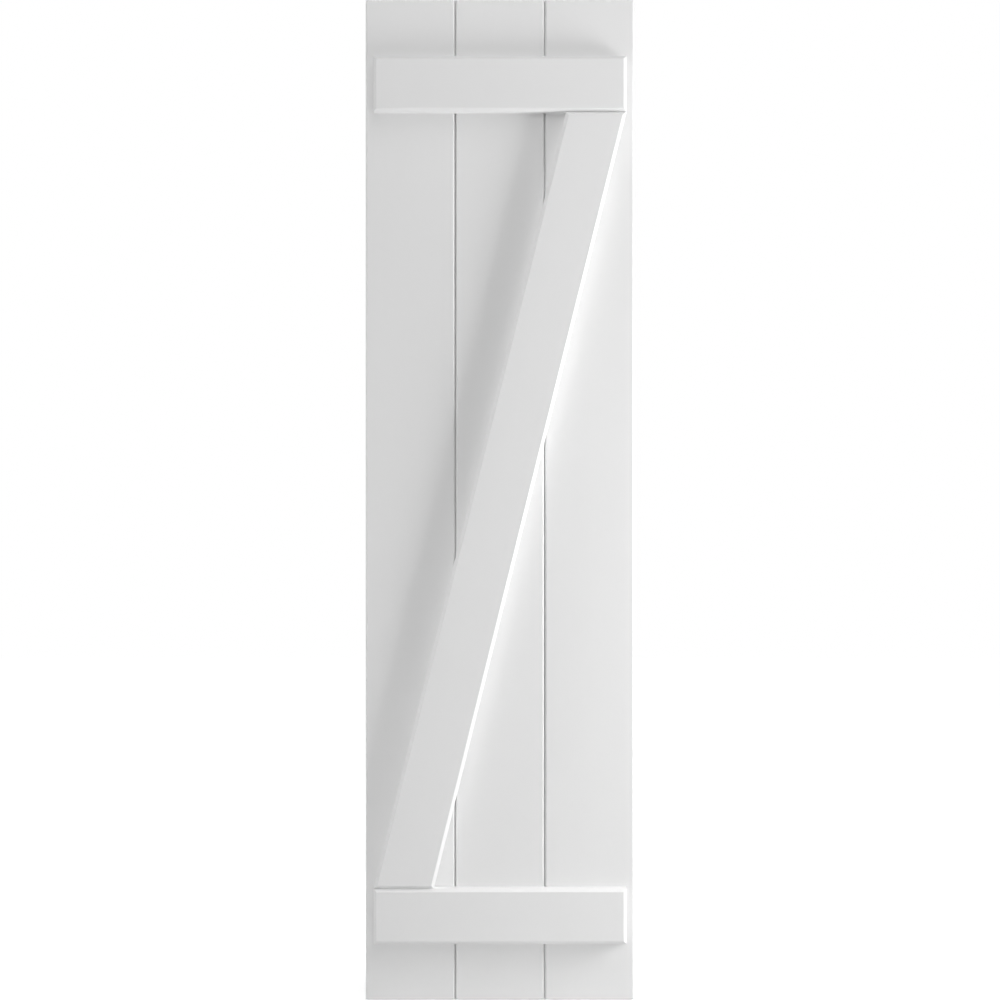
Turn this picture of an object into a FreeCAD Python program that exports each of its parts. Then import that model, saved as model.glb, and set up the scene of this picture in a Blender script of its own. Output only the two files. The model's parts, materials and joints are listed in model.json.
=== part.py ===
import FreeCAD, Part
import os
import Sketcher

# Board and batten shutter: three tongue and groove boards, held together by two level
# battens and a diagonal brace that are screwed on from the back.
# Millimetres, +Z up, front towards -Y. The origin is the middle of the flat back, which
# lies against the wall.

# Driving dimensions. Every other size and place is worked out from these.
DIMENSIONS = (
    ("board_pitch", 136.525),  # width of one board, from joint to joint
    ("board_height", 1524.0),
    ("board_thickness", 19.05),
    ("board_chamfer", 2.38125),  # slope along the front edges, two of which make a V joint
    ("end_chamfer", 1.5875),  # eased front edge of the cut ends
    ("joint_gap", 0.79375),  # open line at the bottom of the V, down to the tongue
    ("tongue_length", 6.0),
    ("tongue_thickness", 6.0),
    ("tongue_clearance", 0.3),
    ("batten_width", 84.1375),
    ("batten_thickness", 19.05),
    ("batten_chamfer", 4.7625),
    ("batten_inset", 12.7),  # from the side of the panel to the end of a batten
    ("batten_offset", 88.9),  # from the end of the panel to a batten
    ("brace_width", 88.9),
    ("screw_diameter", 4.2),
    ("screw_head_rim", 1.9),  # how far the head stands out all round the shank
    ("screw_point_length", 5.0),
    ("screw_tip_cover", 6.0),  # material left between a screw's tip and the front
    ("screw_sink", 0.4),  # how far a head lies below the back of the boards
    ("screw_clearance", 0.15),
    ("screw_edge_distance", 22.0),  # from a batten's long edges to its two rows of screws
    ("drive_depth", 2.2),
    ("drive_wall", 0.3),  # least wall between the square drive and the shank's outside
)

# Boards from left to right, each with its place in pitches from the middle.
BOARDS = (("left_board", -1), ("middle_board", 0), ("right_board", 1))

# Two screws cross each board, at these shares of the part of it that is covered.
CROSSING_SHARES = (0.25, 0.75)

COUNTERSINK_ANGLE = 90
TOLERANCE = 1e-4

PANEL_WIDTH = f"({len(BOARDS)} * dims.board_pitch)"
BATTEN_LENGTH = f"({PANEL_WIDTH} - 2 * dims.batten_inset)"
BATTEN_HEIGHT = "(dims.board_height / 2 - dims.batten_offset - dims.batten_width / 2)"
BATTEN_SCREW_ROW = "(dims.batten_width / 2 - dims.screw_edge_distance)"

# The brace stands between the battens. Its low left corner is in line with the left end
# of the lower batten, and its high right corner with the right end of the upper one.
BRACE_RISE = "(dims.board_height - 2 * dims.batten_offset - 2 * dims.batten_width)"
BRACE_DIAGONAL = f"sqrt({BATTEN_LENGTH} ^ 2 + {BRACE_RISE} ^ 2)"
BRACE_LEAN = (
    f"(acos(dims.brace_width / {BRACE_DIAGONAL}) - atan({BRACE_RISE} / {BATTEN_LENGTH}))"
)
BRACE_LEVEL_WIDTH = f"(dims.brace_width / cos({BRACE_LEAN}))"
BRACE_REACH = f"(({BATTEN_LENGTH} - {BRACE_LEVEL_WIDTH}) / 2)"

SCREW_LENGTH = (
    "(dims.board_thickness + dims.batten_thickness - dims.screw_sink - dims.screw_tip_cover)"
)
SCREW_HOLE = "(dims.screw_diameter + 2 * dims.screw_clearance)"
COUNTERSINK = f"({SCREW_HOLE} + 2 * (dims.screw_head_rim + dims.screw_sink))"
PILOT_DEPTH = "(dims.batten_thickness - dims.screw_tip_cover + dims.screw_clearance)"
DRIVE_WIDTH = "((dims.screw_diameter - 2 * dims.drive_wall) / sqrt(2))"

doc = FreeCAD.newDocument("board_and_batten_shutter")


def fill_sheet():
    sheet = doc.addObject("Spreadsheet::Sheet", "dims")
    for row, (alias, size) in enumerate(DIMENSIONS, 1):
        sheet.set(f"A{row}", alias)
        sheet.set(f"B{row}", str(size))
        sheet.setAlias(f"B{row}", alias)
    doc.recompute()
    return sheet


def value(expression):
    return float(sheet.evalExpression(expression))


def new_body(name, x="0", y="0", z="0"):
    body = doc.addObject("PartDesign::Body", name)
    body.Label = name
    for axis, expression in zip("xyz", (x, y, z)):
        body.setExpression(f".Placement.Base.{axis}", expression)
    return body


def new_sketch(body, name, role):
    sketch = body.newObject("Sketcher::SketchObject", name)
    planes = {item.Role: item for item in body.Origin.OriginFeatures}
    sketch.AttachmentSupport = [(planes[role], "")]
    sketch.MapMode = "FlatFace"
    return sketch


def pin(sketch, geometry, point, place):
    """Tie one point of a sketch to a place given as a pair of expressions."""
    for kind, expression in zip(("DistanceX", "DistanceY"), place):
        distance = Sketcher.Constraint(kind, -1, 1, geometry, point, value(expression))
        name = f"{kind}_{geometry}"
        sketch.renameConstraint(sketch.addConstraint(distance), name)
        sketch.setExpression(f"Constraints.{name}", expression)


def draw_outline(sketch, corners):
    """Draw a closed outline of straight lines through corners given as expressions."""
    points = [FreeCAD.Vector(value(x), value(y), 0) for x, y in corners]
    ends = points[1:] + points[:1]
    for start, end in zip(points, ends):
        sketch.addGeometry(Part.LineSegment(start, end))
    for index, corner in enumerate(corners):
        following = (index + 1) % len(corners)
        sketch.addConstraint(Sketcher.Constraint("Coincident", index, 2, following, 1))
        pin(sketch, index, 1, corner)


def draw_circles(sketch, centres, diameter):
    """Draw equal circles about centres given as expressions."""
    for index, centre in enumerate(centres):
        middle = FreeCAD.Vector(*[value(place) for place in centre], 0)
        radius = value(diameter) / 2
        sketch.addGeometry(Part.Circle(middle, FreeCAD.Vector(0, 0, 1), radius))
        name = f"Diameter_{index}"
        size = Sketcher.Constraint("Diameter", index, 2 * radius)
        sketch.renameConstraint(sketch.addConstraint(size), name)
        sketch.setExpression(f"Constraints.{name}", diameter)
        pin(sketch, index, 3, centre)


def front_face(feature):
    faces = feature.Shape.Faces
    return min(range(len(faces)), key=lambda index: faces[index].CenterOfMass.y)


def ease_front(body, feature, size):
    """Chamfer every edge of the front face."""
    chamfer = body.newObject("PartDesign::Chamfer", f"{body.Name}_front_edges")
    chamfer.Base = (feature, [f"Face{front_face(feature) + 1}"])
    chamfer.setExpression("Size", size)


def ease_ends(body, feature, size):
    """Chamfer the two level edges of the front face."""
    front = feature.Shape.Faces[front_face(feature)]
    level = [edge for edge in front.Edges if edge.BoundBox.ZLength < TOLERANCE]
    names = [
        f"Edge{number}"
        for number, edge in enumerate(feature.Shape.Edges, 1)
        if any(edge.isSame(other) for other in level)
    ]
    chamfer = body.newObject("PartDesign::Chamfer", f"{body.Name}_ends")
    chamfer.Base = (feature, names)
    chamfer.setExpression("Size", size)


def drill(body, centres, depth=None):
    """Drill screw holes from the back: countersunk right through, or plain to a depth."""
    doc.recompute()
    whole = body.Shape.Volume
    sketch = new_sketch(body, f"{body.Name}_screw_places", "XZ_Plane")
    draw_circles(sketch, centres, SCREW_HOLE)
    hole = body.newObject("PartDesign::Hole", f"{body.Name}_screw_holes")
    hole.Profile = sketch
    hole.Reversed = True
    doc.recompute()
    hole.setExpression("Diameter", SCREW_HOLE)
    if depth:
        hole.DepthType = "Dimension"
        hole.DrillPoint = "Flat"
        hole.setExpression("Depth", depth)
    else:
        hole.DepthType = "ThroughAll"
        hole.HoleCutType = "Countersink"
        hole.HoleCutCountersinkAngle = COUNTERSINK_ANGLE
        hole.setExpression("HoleCutDiameter", COUNTERSINK)
    doc.recompute()
    if body.Shape.Volume > whole - TOLERANCE:
        raise RuntimeError(f"the screw holes miss {body.Label}")


def screw_crossings(reach):
    """Board and distance from the middle line of each screw in a row of the given reach."""
    joint = "dims.board_pitch / 2"
    inner = [(0, f"({joint} * (2 * {share} - 1))") for share in CROSSING_SHARES]
    outer = [f"({joint} + ({reach} - {joint}) * {share})" for share in CROSSING_SHARES]
    left = [(-1, f"(-{distance})") for distance in reversed(outer)]
    right = [(1, distance) for distance in outer]
    return left + inner + right


def batten_screws(height):
    """Board and place of each screw behind a batten, in two staggered rows."""
    crossings = screw_crossings(f"{BATTEN_LENGTH} / 2")
    signs = ["+", "-"] * len(BOARDS)
    return [
        (board, (x, f"({height} {sign} {BATTEN_SCREW_ROW})"))
        for (board, x), sign in zip(crossings, signs)
    ]


def brace_screws():
    """Board and place of each screw behind the brace, along its middle line."""
    crossings = screw_crossings(BRACE_REACH)
    return [(board, (x, f"({x} / tan({BRACE_LEAN}))")) for board, x in crossings]


def board_section(place):
    """Corners of a board's section, from the back left, around the front to the back right."""
    shoulder = "(dims.board_thickness - dims.board_chamfer)"
    front = "-dims.board_thickness"
    tongue_middle = f"-{shoulder} / 2"
    first = place == BOARDS[0][1]
    last = place == BOARDS[-1][1]
    left = "-dims.board_pitch / 2" if first else "-(dims.board_pitch - dims.joint_gap) / 2"
    right = "dims.board_pitch / 2" if last else "(dims.board_pitch - dims.joint_gap) / 2"
    corners = [(left, "0")]
    if not first:
        half = "(dims.tongue_thickness / 2 + dims.tongue_clearance)"
        bottom = f"{left} + dims.tongue_length"
        corners += [
            (left, f"{tongue_middle} + {half}"),
            (bottom, f"{tongue_middle} + {half}"),
            (bottom, f"{tongue_middle} - {half}"),
            (left, f"{tongue_middle} - {half}"),
        ]
    corners += [
        (left, f"-{shoulder}"),
        (f"{left} + dims.board_chamfer", front),
        (f"{right} - dims.board_chamfer", front),
        (right, f"-{shoulder}"),
    ]
    if not last:
        half = "dims.tongue_thickness / 2"
        tip = f"{right} + dims.tongue_length"
        corners += [
            (right, f"{tongue_middle} - {half}"),
            (tip, f"{tongue_middle} - {half}"),
            (tip, f"{tongue_middle} + {half}"),
            (right, f"{tongue_middle} + {half}"),
        ]
    return corners + [(right, "0")]


def make_board(name, place, screws):
    body = new_body(name, x=f"{place} * dims.board_pitch")
    section = new_sketch(body, f"{name}_section", "XY_Plane")
    draw_outline(section, board_section(place))
    pad = body.newObject("PartDesign::Pad", f"{name}_length")
    pad.Profile = section
    pad.SideType = "Symmetric"
    pad.setExpression("Length", "dims.board_height")
    doc.recompute()
    ease_ends(body, pad, "dims.end_chamfer")
    centres = [
        (f"({x} - {place} * dims.board_pitch)", z) for board, (x, z) in screws if board == place
    ]
    drill(body, centres)
    return body


def make_front_piece(name, corners, height, screws):
    """Make a piece that lies on the boards: an outline with its front edges eased."""
    body = new_body(name, y="-dims.board_thickness", z=height)
    outline = new_sketch(body, f"{name}_outline", "XZ_Plane")
    draw_outline(outline, corners)
    pad = body.newObject("PartDesign::Pad", f"{name}_thickness")
    pad.Profile = outline
    pad.setExpression("Length", "dims.batten_thickness")
    doc.recompute()
    ease_front(body, pad, "dims.batten_chamfer")
    centres = [(x, f"({z} - {height})") for _, (x, z) in screws]
    drill(body, centres, PILOT_DEPTH)
    return body


def make_batten(name, height, screws):
    end = f"{BATTEN_LENGTH} / 2"
    side = "dims.batten_width / 2"
    corners = [
        (f"-{end}", f"-{side}"),
        (end, f"-{side}"),
        (end, side),
        (f"-{end}", side),
    ]
    return make_front_piece(name, corners, height, screws)


def make_brace(name, screws):
    end = f"{BATTEN_LENGTH} / 2"
    top = f"{BRACE_RISE} / 2"
    corners = [
        (f"-{end}", f"-{top}"),
        (f"-{end} + {BRACE_LEVEL_WIDTH}", f"-{top}"),
        (end, top),
        (f"{end} - {BRACE_LEVEL_WIDTH}", top),
    ]
    return make_front_piece(name, corners, "0", screws)


def make_screw(name, place):
    """Make a countersunk screw with a square drive, its head towards the back."""
    x, z = place
    body = new_body(name, x=x, y="-dims.screw_sink", z=z)
    shank = "dims.screw_diameter / 2"
    profile = new_sketch(body, f"{name}_profile", "XY_Plane")
    corners = [
        ("0", "0"),
        ("0", f"-{SCREW_LENGTH}"),
        (shank, f"-({SCREW_LENGTH} - dims.screw_point_length)"),
        (shank, "-dims.screw_head_rim"),
        (f"{shank} + dims.screw_head_rim", "0"),
    ]
    draw_outline(profile, corners)
    turned = body.newObject("PartDesign::Revolution", f"{name}_turned")
    turned.Profile = profile
    turned.ReferenceAxis = (profile, ["V_Axis"])
    doc.recompute()
    whole = body.Shape.Volume
    square = new_sketch(body, f"{name}_drive", "XZ_Plane")
    side = f"{DRIVE_WIDTH} / 2"
    corners = [(f"-{side}", f"-{side}"), (side, f"-{side}"), (side, side), (f"-{side}", side)]
    draw_outline(square, corners)
    recess = body.newObject("PartDesign::Pocket", f"{name}_recess")
    recess.Profile = square
    recess.Reversed = True
    recess.setExpression("Length", "dims.drive_depth")
    doc.recompute()
    if body.Shape.Volume > whole - TOLERANCE:
        raise RuntimeError(f"the drive misses {body.Label}")
    return body


def check(pieces):
    """Stop if any feature has failed or any piece has no sound shape."""
    for item in doc.Objects:
        if "Invalid" in item.State or "Error" in item.State:
            raise RuntimeError(f"{item.Label} failed")
    for piece in pieces:
        if piece.Shape.isNull() or not piece.Shape.isValid():
            raise RuntimeError(f"{piece.Label} has no sound shape")


sheet = fill_sheet()
screw_rows = {
    "top_batten": batten_screws(BATTEN_HEIGHT),
    "bottom_batten": batten_screws(f"-{BATTEN_HEIGHT}"),
    "diagonal_brace": brace_screws(),
}
all_screws = [screw for row in screw_rows.values() for screw in row]

pieces = [make_board(name, place, all_screws) for name, place in BOARDS]
pieces.append(make_batten("top_batten", BATTEN_HEIGHT, screw_rows["top_batten"]))
pieces.append(make_batten("bottom_batten", f"-{BATTEN_HEIGHT}", screw_rows["bottom_batten"]))
pieces.append(make_brace("diagonal_brace", screw_rows["diagonal_brace"]))
for carrier, row in screw_rows.items():
    for number, (_, place) in enumerate(row, 1):
        pieces.append(make_screw(f"{carrier}_screw_{number}", place))

doc.recompute()
check(pieces)
os.makedirs("parts", exist_ok=True)
for piece in pieces:
    piece.Shape.exportStep(f"parts/{piece.Label}.step")
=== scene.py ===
import json
import math
from collections import namedtuple

import bpy
from bpy.props import FloatProperty, FloatVectorProperty, IntProperty, PointerProperty
from bpy.types import NodeSocket, Operator, Panel, PropertyGroup
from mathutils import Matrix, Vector


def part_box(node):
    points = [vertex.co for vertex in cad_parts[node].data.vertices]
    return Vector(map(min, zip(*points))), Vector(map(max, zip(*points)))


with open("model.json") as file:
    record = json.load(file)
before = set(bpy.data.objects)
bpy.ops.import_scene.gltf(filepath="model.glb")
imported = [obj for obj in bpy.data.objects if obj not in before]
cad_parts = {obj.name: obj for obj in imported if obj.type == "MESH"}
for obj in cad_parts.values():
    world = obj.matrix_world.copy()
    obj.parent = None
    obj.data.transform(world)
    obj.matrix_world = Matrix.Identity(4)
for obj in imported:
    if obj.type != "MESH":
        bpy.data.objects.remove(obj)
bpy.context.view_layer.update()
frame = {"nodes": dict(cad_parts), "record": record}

bl_info = {
    "name": "Board and Batten Shutter",
    "version": (1, 0, 0),
    "blender": (4, 5, 0),
    "location": "View3D > Sidebar > Shutter",
    "description": "Finishes the boards, battens, brace and screws of a window shutter",
    "category": "Object",
}

BOARDS = ("left_board", "middle_board", "right_board")
BATTENS = ("top_batten", "bottom_batten")
BRACE = "diagonal_brace"
SCREWS = tuple(sorted(node for node in frame["nodes"] if "_screw_" in node))
COLOURS = {entry["slot"]: entry["base_color"] for entry in frame["record"]["materials"]}

# Lengths are in metres, as in the frame. Only the camera's sensor and lens are in millimetres.
MILLIMETRE = 0.001
MERGE_DISTANCE = 0.01 * MILLIMETRE
SHARP_ANGLE = math.radians(30)
LEVEL_TURN = math.radians(90)
SENSOR_WIDTH = 36.0
WHITE = (1.0, 1.0, 1.0, 1.0)

# A face is a sawn end if its normal lies this much along the board.
SAWN_FACING = 0.9
# A face is a chamfer if its normal lies about half way to the front.
CHAMFER_FACING = math.sqrt(0.5)
CHAMFER_LEEWAY = 0.2
# Marks are drawn out along a board, and across a screw's head, by squeezing their coordinates.
BOARD_SQUEEZE = (1.0, 1.0, 0.02)
BRUSH_SQUEEZE = (0.05, 1.0, 1.0)

# Levels of ever finer detail in each noise.
LINE_DETAIL = 4.0
PEEL_DETAIL = 2.0
PATCH_DETAIL = 5.0
GLOSS_DETAIL = 4.0
STEEL_DETAIL = 3.0
# How the cutter marks stray from straight bands.
RIPPLE_STRAY = {"Distortion": 1.5, "Detail": 1.0, "Detail Scale": 0.2}
# A Wave texture runs through 20 radians for each unit of its scaled coordinate.
WAVE_RADIANS = 20.0

# Soft boxes: where each hangs, the point that it faces, its width and height, and its power in watts.
Lamp = namedtuple("Lamp", "name place target width height power")
LAMPS = (
    Lamp("right_strip", (1.2, -0.3, 0.0), (0.0, 0.0, 0.0), 0.3, 0.7, 18.0),
    Lamp("right_top", (1.2, -0.3, 1.0), (0.0, 0.0, 0.6), 0.3, 0.5, 3.0),
    Lamp("left_strip", (-1.2, -0.1, 0.2), (0.0, 0.0, 0.2), 0.2, 1.6, 4.5),
    Lamp("left_front", (-1.5, -2.7, 0.2), (0.0, 0.0, 0.1), 1.4, 1.4, 16.0),
    Lamp("high_front", (0.0, -2.9, 1.9), (0.0, 0.0, 0.1), 1.6, 1.0, 17.0),
    Lamp("top_front", (0.1, -0.8, 1.9), (0.0, 0.0, 0.3), 1.0, 1.0, 9.0),
    Lamp("low_card", (0.0, -1.0, -0.65), (0.0, 0.0, -0.2), 0.8, 0.2, 0.9),
    Lamp("back_fill", (0.0, 0.9, 0.1), (0.0, 0.0, 0.0), 1.0, 1.4, 6.0),
)


class ShutterBoards(PropertyGroup):
    """Finish of the boards, battens and brace."""

    colour: FloatVectorProperty(
        name="Colour",
        description="Colour of the board stock",
        subtype="COLOR",
        size=3,
        min=0.0,
        max=1.0,
        default=COLOURS["white_board"],
    )
    tone_spread: FloatProperty(
        name="Tone spread",
        description="How much the palest and darkest patches of a board differ",
        subtype="FACTOR",
        min=0.0,
        max=0.2,
        default=0.02,
    )
    roughness: FloatProperty(
        name="Roughness",
        description="How matt the skin of a board is",
        subtype="FACTOR",
        min=0.0,
        max=1.0,
        default=0.5,
    )
    roughness_spread: FloatProperty(
        name="Roughness spread",
        description="How far the roughness strays to each side",
        subtype="FACTOR",
        min=0.0,
        max=0.3,
        default=0.06,
    )
    end_roughness: FloatProperty(
        name="End roughness",
        description="Roughness added on sawn ends",
        subtype="FACTOR",
        min=0.0,
        max=0.5,
        default=0.25,
    )
    patch_size: FloatProperty(
        name="Patch size",
        description="Width of the paler and darker patches, which are drawn out along a board",
        unit="LENGTH",
        default=60.0 * MILLIMETRE,
    )
    gloss_size: FloatProperty(
        name="Gloss size",
        description="Size of the duller and glossier patches",
        unit="LENGTH",
        default=12.0 * MILLIMETRE,
    )
    arris: FloatProperty(
        name="Arris",
        description="Width of the rounding that softens each sharp edge",
        unit="LENGTH",
        default=0.4 * MILLIMETRE,
    )
    arris_steps: IntProperty(
        name="Arris steps",
        description="Faces across the rounding of an edge",
        min=1,
        max=4,
        default=2,
    )
    line_width: FloatProperty(
        name="Line width",
        description="Width of the faint lines that run along a board",
        unit="LENGTH",
        default=4.0 * MILLIMETRE,
    )
    line_depth: FloatProperty(
        name="Line depth",
        description="Depth of the faint lines that run along a board",
        unit="LENGTH",
        default=0.02 * MILLIMETRE,
    )
    peel_size: FloatProperty(
        name="Peel size",
        description="Size of the fine peel on a board's skin",
        unit="LENGTH",
        default=1.2 * MILLIMETRE,
    )
    peel_depth: FloatProperty(
        name="Peel depth",
        description="Depth of the fine peel on a board's skin",
        unit="LENGTH",
        default=0.01 * MILLIMETRE,
    )
    ripple_pitch: FloatProperty(
        name="Ripple pitch",
        description="Spacing of the marks that the cutter leaves on a chamfer",
        unit="LENGTH",
        default=2.5 * MILLIMETRE,
    )
    ripple_depth: FloatProperty(
        name="Ripple depth",
        description="Depth of the marks that the cutter leaves on a chamfer",
        unit="LENGTH",
        default=0.02 * MILLIMETRE,
    )
    pore_size: FloatProperty(
        name="Pore size",
        description="Size of the open cells on a sawn end",
        unit="LENGTH",
        default=0.8 * MILLIMETRE,
    )
    pore_depth: FloatProperty(
        name="Pore depth",
        description="Depth of the open cells on a sawn end",
        unit="LENGTH",
        default=0.15 * MILLIMETRE,
    )


class ShutterScrews(PropertyGroup):
    """Finish of the screws."""

    colour: FloatVectorProperty(
        name="Colour",
        description="Colour of the steel",
        subtype="COLOR",
        size=3,
        min=0.0,
        max=1.0,
        default=COLOURS["screw_steel"],
    )
    roughness: FloatProperty(
        name="Roughness",
        description="How dull the steel is",
        subtype="FACTOR",
        min=0.0,
        max=1.0,
        default=0.34,
    )
    roughness_spread: FloatProperty(
        name="Roughness spread",
        description="How far the roughness strays to each side",
        subtype="FACTOR",
        min=0.0,
        max=0.3,
        default=0.1,
    )
    smear_size: FloatProperty(
        name="Smear size",
        description="Size of the duller and brighter patches",
        unit="LENGTH",
        default=3.0 * MILLIMETRE,
    )
    scratch_width: FloatProperty(
        name="Scratch width",
        description="Width of the brush marks on a head",
        unit="LENGTH",
        default=0.12 * MILLIMETRE,
    )
    scratch_depth: FloatProperty(
        name="Scratch depth",
        description="Depth of the brush marks on a head",
        unit="LENGTH",
        default=0.01 * MILLIMETRE,
    )


class ShutterStage(PropertyGroup):
    """Camera, floor and light."""

    lens: FloatProperty(
        name="Lens",
        description="Focal length of the camera",
        subtype="DISTANCE_CAMERA",
        default=66.0,
    )
    floor_width: FloatProperty(
        name="Floor width",
        description="Side of the square floor",
        unit="LENGTH",
        default=12.0,
    )
    floor_colour: FloatVectorProperty(
        name="Floor colour",
        description="Colour of the floor",
        subtype="COLOR",
        size=3,
        min=0.0,
        max=1.0,
        default=(0.75, 0.75, 0.75),
    )
    floor_glow: FloatProperty(
        name="Floor glow",
        description="Light added to the floor as it is seen, which makes it white where it is lit",
        min=0.0,
        max=1.0,
        default=0.6,
    )
    lit_radius: FloatProperty(
        name="Lit radius",
        description="Distance from the shutter at which the lamps' light on the floor starts to fade",
        unit="LENGTH",
        default=0.4,
    )
    white_radius: FloatProperty(
        name="White radius",
        description="Distance from the shutter past which the floor is seen as plain white",
        unit="LENGTH",
        default=1.6,
    )
    light_level: FloatProperty(
        name="Light level",
        description="Factor on the power of every soft box",
        min=0.0,
        default=1.0,
    )
    ambient: FloatProperty(
        name="Ambient",
        description="Even light from all round",
        min=0.0,
        max=1.0,
        default=0.02,
    )


def add_node(tree, kind, inputs=None, **settings):
    """Add a shader node, set its options, and link or fill its inputs."""
    node = tree.nodes.new(kind)
    for option, value in settings.items():
        setattr(node, option, value)
    for socket, value in (inputs or {}).items():
        if isinstance(value, NodeSocket):
            tree.links.new(value, node.inputs[socket])
        else:
            node.inputs[socket].default_value = value
    return node


def maths(tree, operation, *values):
    """Add a Math node and return its result."""
    return add_node(tree, "ShaderNodeMath", dict(enumerate(values)), operation=operation).outputs[0]


def spread(tree, value, low, high):
    """Bring a value from 0..1 to low..high."""
    inputs = {"Value": value, "To Min": low, "To Max": high}
    return add_node(tree, "ShaderNodeMapRange", inputs).outputs["Result"]


def noise(tree, place, size, detail):
    """Noise whose patches are about the given size."""
    inputs = {"Vector": place, "Scale": 1.0 / size, "Detail": detail}
    return add_node(tree, "ShaderNodeTexNoise", inputs).outputs["Fac"]


def bump(tree, height, depth, below=None):
    """Lay a bump of the given depth over the normal below it."""
    inputs = {"Height": height, "Distance": depth}
    if below is not None:
        inputs["Normal"] = below
    return add_node(tree, "ShaderNodeBump", inputs).outputs["Normal"]


def toned(colour, factor):
    """A colour made paler or darker, with its alpha."""
    return (*(channel * factor for channel in colour), 1.0)


def blended(tree, factor, first, second):
    """Blend two colours by a factor."""
    mix = add_node(tree, "ShaderNodeMix", {0: factor}, data_type="RGBA")
    for identifier, colour in (("A_Color", first), ("B_Color", second)):
        socket = next(socket for socket in mix.inputs if socket.identifier == identifier)
        if isinstance(colour, NodeSocket):
            tree.links.new(colour, socket)
        else:
            socket.default_value = colour
    return next(socket for socket in mix.outputs if socket.identifier == "Result_Color")


def new_material(name):
    """Add a material and return it with its node tree and shader."""
    material = bpy.data.materials.new(name)
    material.use_nodes = True
    return material, material.node_tree, material.node_tree.nodes["Principled BSDF"]


def board_material(name, finish, turn):
    """Matt white board stock whose length runs along Z after a turn about Y."""
    material, tree, shader = new_material(name)
    coordinates = add_node(tree, "ShaderNodeTexCoord").outputs
    turned = {"Vector": coordinates["Object"], "Rotation": (0.0, turn, 0.0)}
    place = add_node(tree, "ShaderNodeMapping", turned).outputs["Vector"]
    turned["Vector"] = coordinates["Normal"]
    facing = add_node(tree, "ShaderNodeMapping", turned, vector_type="VECTOR").outputs["Vector"]
    axes = add_node(tree, "ShaderNodeSeparateXYZ", {"Vector": facing}).outputs

    # Where the surface is a sawn end or a milled chamfer.
    sawn = maths(tree, "GREATER_THAN", maths(tree, "ABSOLUTE", axes["Z"]), SAWN_FACING)
    outward = maths(tree, "ABSOLUTE", axes["Y"])
    milled = maths(tree, "COMPARE", outward, CHAMFER_FACING, CHAMFER_LEEWAY)

    # Skin: lines along the board, fine peel.
    squeezed = {"Vector": place, "Scale": BOARD_SQUEEZE}
    along = add_node(tree, "ShaderNodeMapping", squeezed).outputs["Vector"]
    lines = noise(tree, along, finish.line_width, LINE_DETAIL)
    peel = noise(tree, place, finish.peel_size, PEEL_DETAIL)
    normal = bump(tree, lines, finish.line_depth)
    normal = bump(tree, peel, finish.peel_depth, normal)

    # Cutter marks on chamfers.
    scale = math.tau / (WAVE_RADIANS * finish.ripple_pitch)
    marks = {"Vector": place, "Scale": scale, **RIPPLE_STRAY}
    ripple = add_node(tree, "ShaderNodeTexWave", marks, bands_direction="Z").outputs["Fac"]
    normal = bump(tree, maths(tree, "MULTIPLY", ripple, milled), finish.ripple_depth, normal)

    # Open cells on sawn ends.
    cells = {"Vector": place, "Scale": 1.0 / finish.pore_size}
    pores = add_node(tree, "ShaderNodeTexVoronoi", cells).outputs["Distance"]
    normal = bump(tree, maths(tree, "MULTIPLY", pores, sawn), finish.pore_depth, normal)

    # Colour and gloss vary a little, and sawn ends are darker and duller.
    patches = noise(tree, along, finish.patch_size, PATCH_DETAIL)
    pale = toned(finish.colour, 1.0 + finish.tone_spread / 2)
    dark = toned(finish.colour, 1.0 - finish.tone_spread / 2)
    skin = blended(tree, patches, pale, dark)
    tone = blended(tree, sawn, skin, toned(finish.colour, 1.0 - 2 * finish.tone_spread))
    gloss = noise(tree, place, finish.gloss_size, GLOSS_DETAIL)
    smoothest = finish.roughness - finish.roughness_spread
    roughest = finish.roughness + finish.roughness_spread
    rough = spread(tree, gloss, smoothest, roughest)
    rough = maths(tree, "MULTIPLY_ADD", sawn, finish.end_roughness, rough)

    tree.links.new(tone, shader.inputs["Base Color"])
    tree.links.new(rough, shader.inputs["Roughness"])
    tree.links.new(normal, shader.inputs["Normal"])
    return material


def steel_material(name, finish):
    """Lightly brushed stainless steel."""
    material, tree, shader = new_material(name)
    place = add_node(tree, "ShaderNodeTexCoord").outputs["Object"]
    squeezed = {"Vector": place, "Scale": BRUSH_SQUEEZE}
    brushed = add_node(tree, "ShaderNodeMapping", squeezed).outputs["Vector"]
    scratches = noise(tree, brushed, finish.scratch_width, STEEL_DETAIL)
    smears = noise(tree, place, finish.smear_size, STEEL_DETAIL)
    shader.inputs["Base Color"].default_value = (*finish.colour, 1.0)
    shader.inputs["Metallic"].default_value = 1.0
    smoothest = finish.roughness - finish.roughness_spread
    roughest = finish.roughness + finish.roughness_spread
    rough = spread(tree, smears, smoothest, roughest)
    tree.links.new(rough, shader.inputs["Roughness"])
    tree.links.new(bump(tree, scratches, finish.scratch_depth), shader.inputs["Normal"])
    return material


def dress(node, material):
    """Give a node one material."""
    piece = frame["nodes"][node]
    piece.data.materials.clear()
    piece.data.materials.append(material)


def soften(node, finish):
    """Round the sharp edges of a node a little."""
    piece = frame["nodes"][node]
    weld = piece.modifiers.new("join_faces", "WELD")
    weld.merge_threshold = MERGE_DISTANCE
    bevel = piece.modifiers.new("arris", "BEVEL")
    bevel.width = finish.arris
    bevel.segments = finish.arris_steps
    bevel.limit_method = "ANGLE"
    bevel.angle_limit = SHARP_ANGLE
    bevel.harden_normals = True
    bevel.use_clamp_overlap = False
    # The faces are long thin triangles, and new edges that slide along their sides would cross.
    bevel.loop_slide = False


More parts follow.
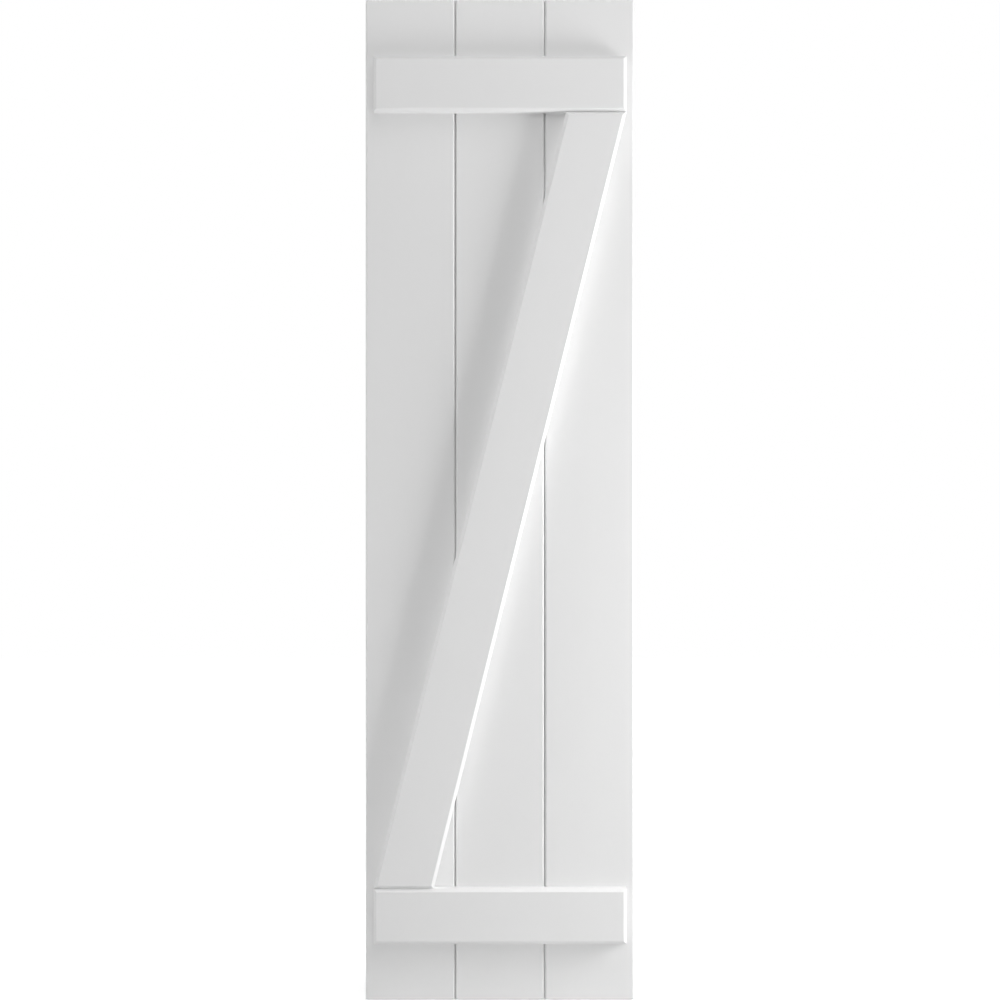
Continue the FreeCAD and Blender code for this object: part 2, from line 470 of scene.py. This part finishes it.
def brace_lean():
    """Angle of the brace from upright, from the middles of its two ends."""
    low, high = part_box(BRACE)
    points = [vertex.co for vertex in frame["nodes"][BRACE].data.vertices]
    top = [point.x for point in points if high.z - point.z < MERGE_DISTANCE]
    foot = [point.x for point in points if point.z - low.z < MERGE_DISTANCE]
    run = (min(top) + max(top) - min(foot) - max(foot)) / 2
    return math.atan2(run, high.z - low.z)


class SHUTTER_OT_boards(Operator):
    """Finish the boards"""

    bl_idname = "shutter.boards"
    bl_label = "Boards"

    def execute(self, context):
        finish = context.scene.shutter_boards
        material = board_material("upright_board", finish, 0.0)
        for node in BOARDS:
            dress(node, material)
            soften(node, finish)
        return {"FINISHED"}


class SHUTTER_OT_battens(Operator):
    """Finish the battens"""

    bl_idname = "shutter.battens"
    bl_label = "Battens"

    def execute(self, context):
        finish = context.scene.shutter_boards
        material = board_material("level_batten", finish, LEVEL_TURN)
        for node in BATTENS:
            dress(node, material)
            soften(node, finish)
        return {"FINISHED"}


class SHUTTER_OT_brace(Operator):
    """Finish the brace"""

    bl_idname = "shutter.brace"
    bl_label = "Brace"

    def execute(self, context):
        finish = context.scene.shutter_boards
        dress(BRACE, board_material("leaning_brace", finish, -brace_lean()))
        soften(BRACE, finish)
        return {"FINISHED"}


class SHUTTER_OT_screws(Operator):
    """Finish the screws"""

    bl_idname = "shutter.screws"
    bl_label = "Screws"

    def execute(self, context):
        material = steel_material("screw_steel", context.scene.shutter_screws)
        for node in SCREWS:
            dress(node, material)
        return {"FINISHED"}


def seen_rays(tree):
    """1 for the rays that show the background: from the camera, in reflections and through glass."""
    rays = add_node(tree, "ShaderNodeLightPath").outputs
    seen = maths(tree, "MAXIMUM", rays["Is Camera Ray"], rays["Is Glossy Ray"])
    return maths(tree, "MAXIMUM", seen, rays["Is Transmission Ray"])


def add_floor(stage, height):
    """Pale floor under the shutter."""
    bpy.ops.object.select_all(action="DESELECT")
    bpy.ops.mesh.primitive_plane_add(size=stage.floor_width, location=(0.0, 0.0, height))
    floor = bpy.context.object
    floor.name = "floor"
    material, tree, shader = new_material("floor_paint")
    shader.inputs["Base Color"].default_value = (*stage.floor_colour, 1.0)
    shader.inputs["Specular IOR Level"].default_value = 0.0
    shader.inputs["Emission Color"].default_value = WHITE
    place = add_node(tree, "ShaderNodeTexCoord").outputs["Object"]
    away = add_node(tree, "ShaderNodeVectorMath", {0: place}, operation="LENGTH").outputs["Value"]
    ramp = {
        "Value": away,
        "From Min": stage.lit_radius,
        "From Max": stage.white_radius,
        "To Min": stage.floor_glow,
        "To Max": 1.0,
    }
    white = add_node(tree, "ShaderNodeMapRange", ramp, interpolation_type="SMOOTHSTEP").outputs["Result"]
    glow = maths(tree, "MULTIPLY", seen_rays(tree), white)
    tree.links.new(glow, shader.inputs["Emission Strength"])
    floor.data.materials.append(material)


def add_world(stage):
    """White where it is seen, and a faint even light elsewhere."""
    world = bpy.data.worlds.new("white_room")
    world.use_nodes = True
    tree = world.node_tree
    background = tree.nodes["Background"]
    background.inputs["Color"].default_value = WHITE
    level = spread(tree, seen_rays(tree), stage.ambient, 1.0)
    tree.links.new(level, background.inputs["Strength"])
    bpy.context.scene.world = world


def add_lamp(lamp, level):
    """A soft box that lights the shutter and isn't seen itself."""
    data = bpy.data.lights.new(lamp.name, "AREA")
    data.shape = "RECTANGLE"
    data.size = lamp.width
    data.size_y = lamp.height
    data.energy = lamp.power * level
    box = bpy.data.objects.new(lamp.name, data)
    box.location = lamp.place
    facing = Vector(lamp.target) - Vector(lamp.place)
    box.rotation_euler = facing.to_track_quat("-Z", "Y").to_euler()
    box.visible_camera = False
    bpy.context.scene.collection.objects.link(box)


def add_camera(stage, face, top):
    """Camera square to the front, with the boards' height filling the frame."""
    data = bpy.data.cameras.new("photo_camera")
    data.sensor_width = SENSOR_WIDTH
    data.lens = stage.lens
    camera = bpy.data.objects.new("photo_camera", data)
    bpy.context.scene.collection.objects.link(camera)
    distance = top * stage.lens / (SENSOR_WIDTH / 2)
    camera.location = (0.0, face - distance, 0.0)
    camera.rotation_euler = (math.radians(90), 0.0, 0.0)
    bpy.context.scene.camera = camera


class SHUTTER_OT_stage(Operator):
    """Set up the floor, the light and the camera"""

    bl_idname = "shutter.stage"
    bl_label = "Stage"

    def execute(self, context):
        stage = context.scene.shutter_stage
        low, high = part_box("middle_board")
        add_floor(stage, low.z)
        add_world(stage)
        for lamp in LAMPS:
            add_lamp(lamp, stage.light_level)
        add_camera(stage, low.y, high.z)
        context.scene.view_settings.view_transform = "Standard"
        return {"FINISHED"}


class SHUTTER_PT_panel(Panel):
    """Lists the steps that finish the shutter"""

    bl_idname = "SHUTTER_PT_panel"
    bl_label = "Shutter"
    bl_space_type = "VIEW_3D"
    bl_region_type = "UI"
    bl_category = "Shutter"

    def draw(self, context):
        for operator in OPERATORS:
            self.layout.operator(operator.bl_idname)


SETTINGS = {
    "shutter_boards": ShutterBoards,
    "shutter_screws": ShutterScrews,
    "shutter_stage": ShutterStage,
}
OPERATORS = (
    SHUTTER_OT_boards,
    SHUTTER_OT_battens,
    SHUTTER_OT_brace,
    SHUTTER_OT_screws,
    SHUTTER_OT_stage,
)
CLASSES = (*SETTINGS.values(), *OPERATORS, SHUTTER_PT_panel)


def register():
    """Add the settings, operators and panel to Blender."""
    for item in CLASSES:
        bpy.utils.register_class(item)
    for name, group in SETTINGS.items():
        setattr(bpy.types.Scene, name, PointerProperty(type=group))


def unregister():
    """Take the settings, operators and panel out of Blender."""
    for name in SETTINGS:
        delattr(bpy.types.Scene, name)
    for item in reversed(CLASSES):
        bpy.utils.unregister_class(item)


def main():
    """Finish every piece and set up the stage."""
    register()
    bpy.ops.shutter.boards()
    bpy.ops.shutter.battens()
    bpy.ops.shutter.brace()
    bpy.ops.shutter.screws()
    bpy.ops.shutter.stage()


if __name__ == "__main__":
    main()
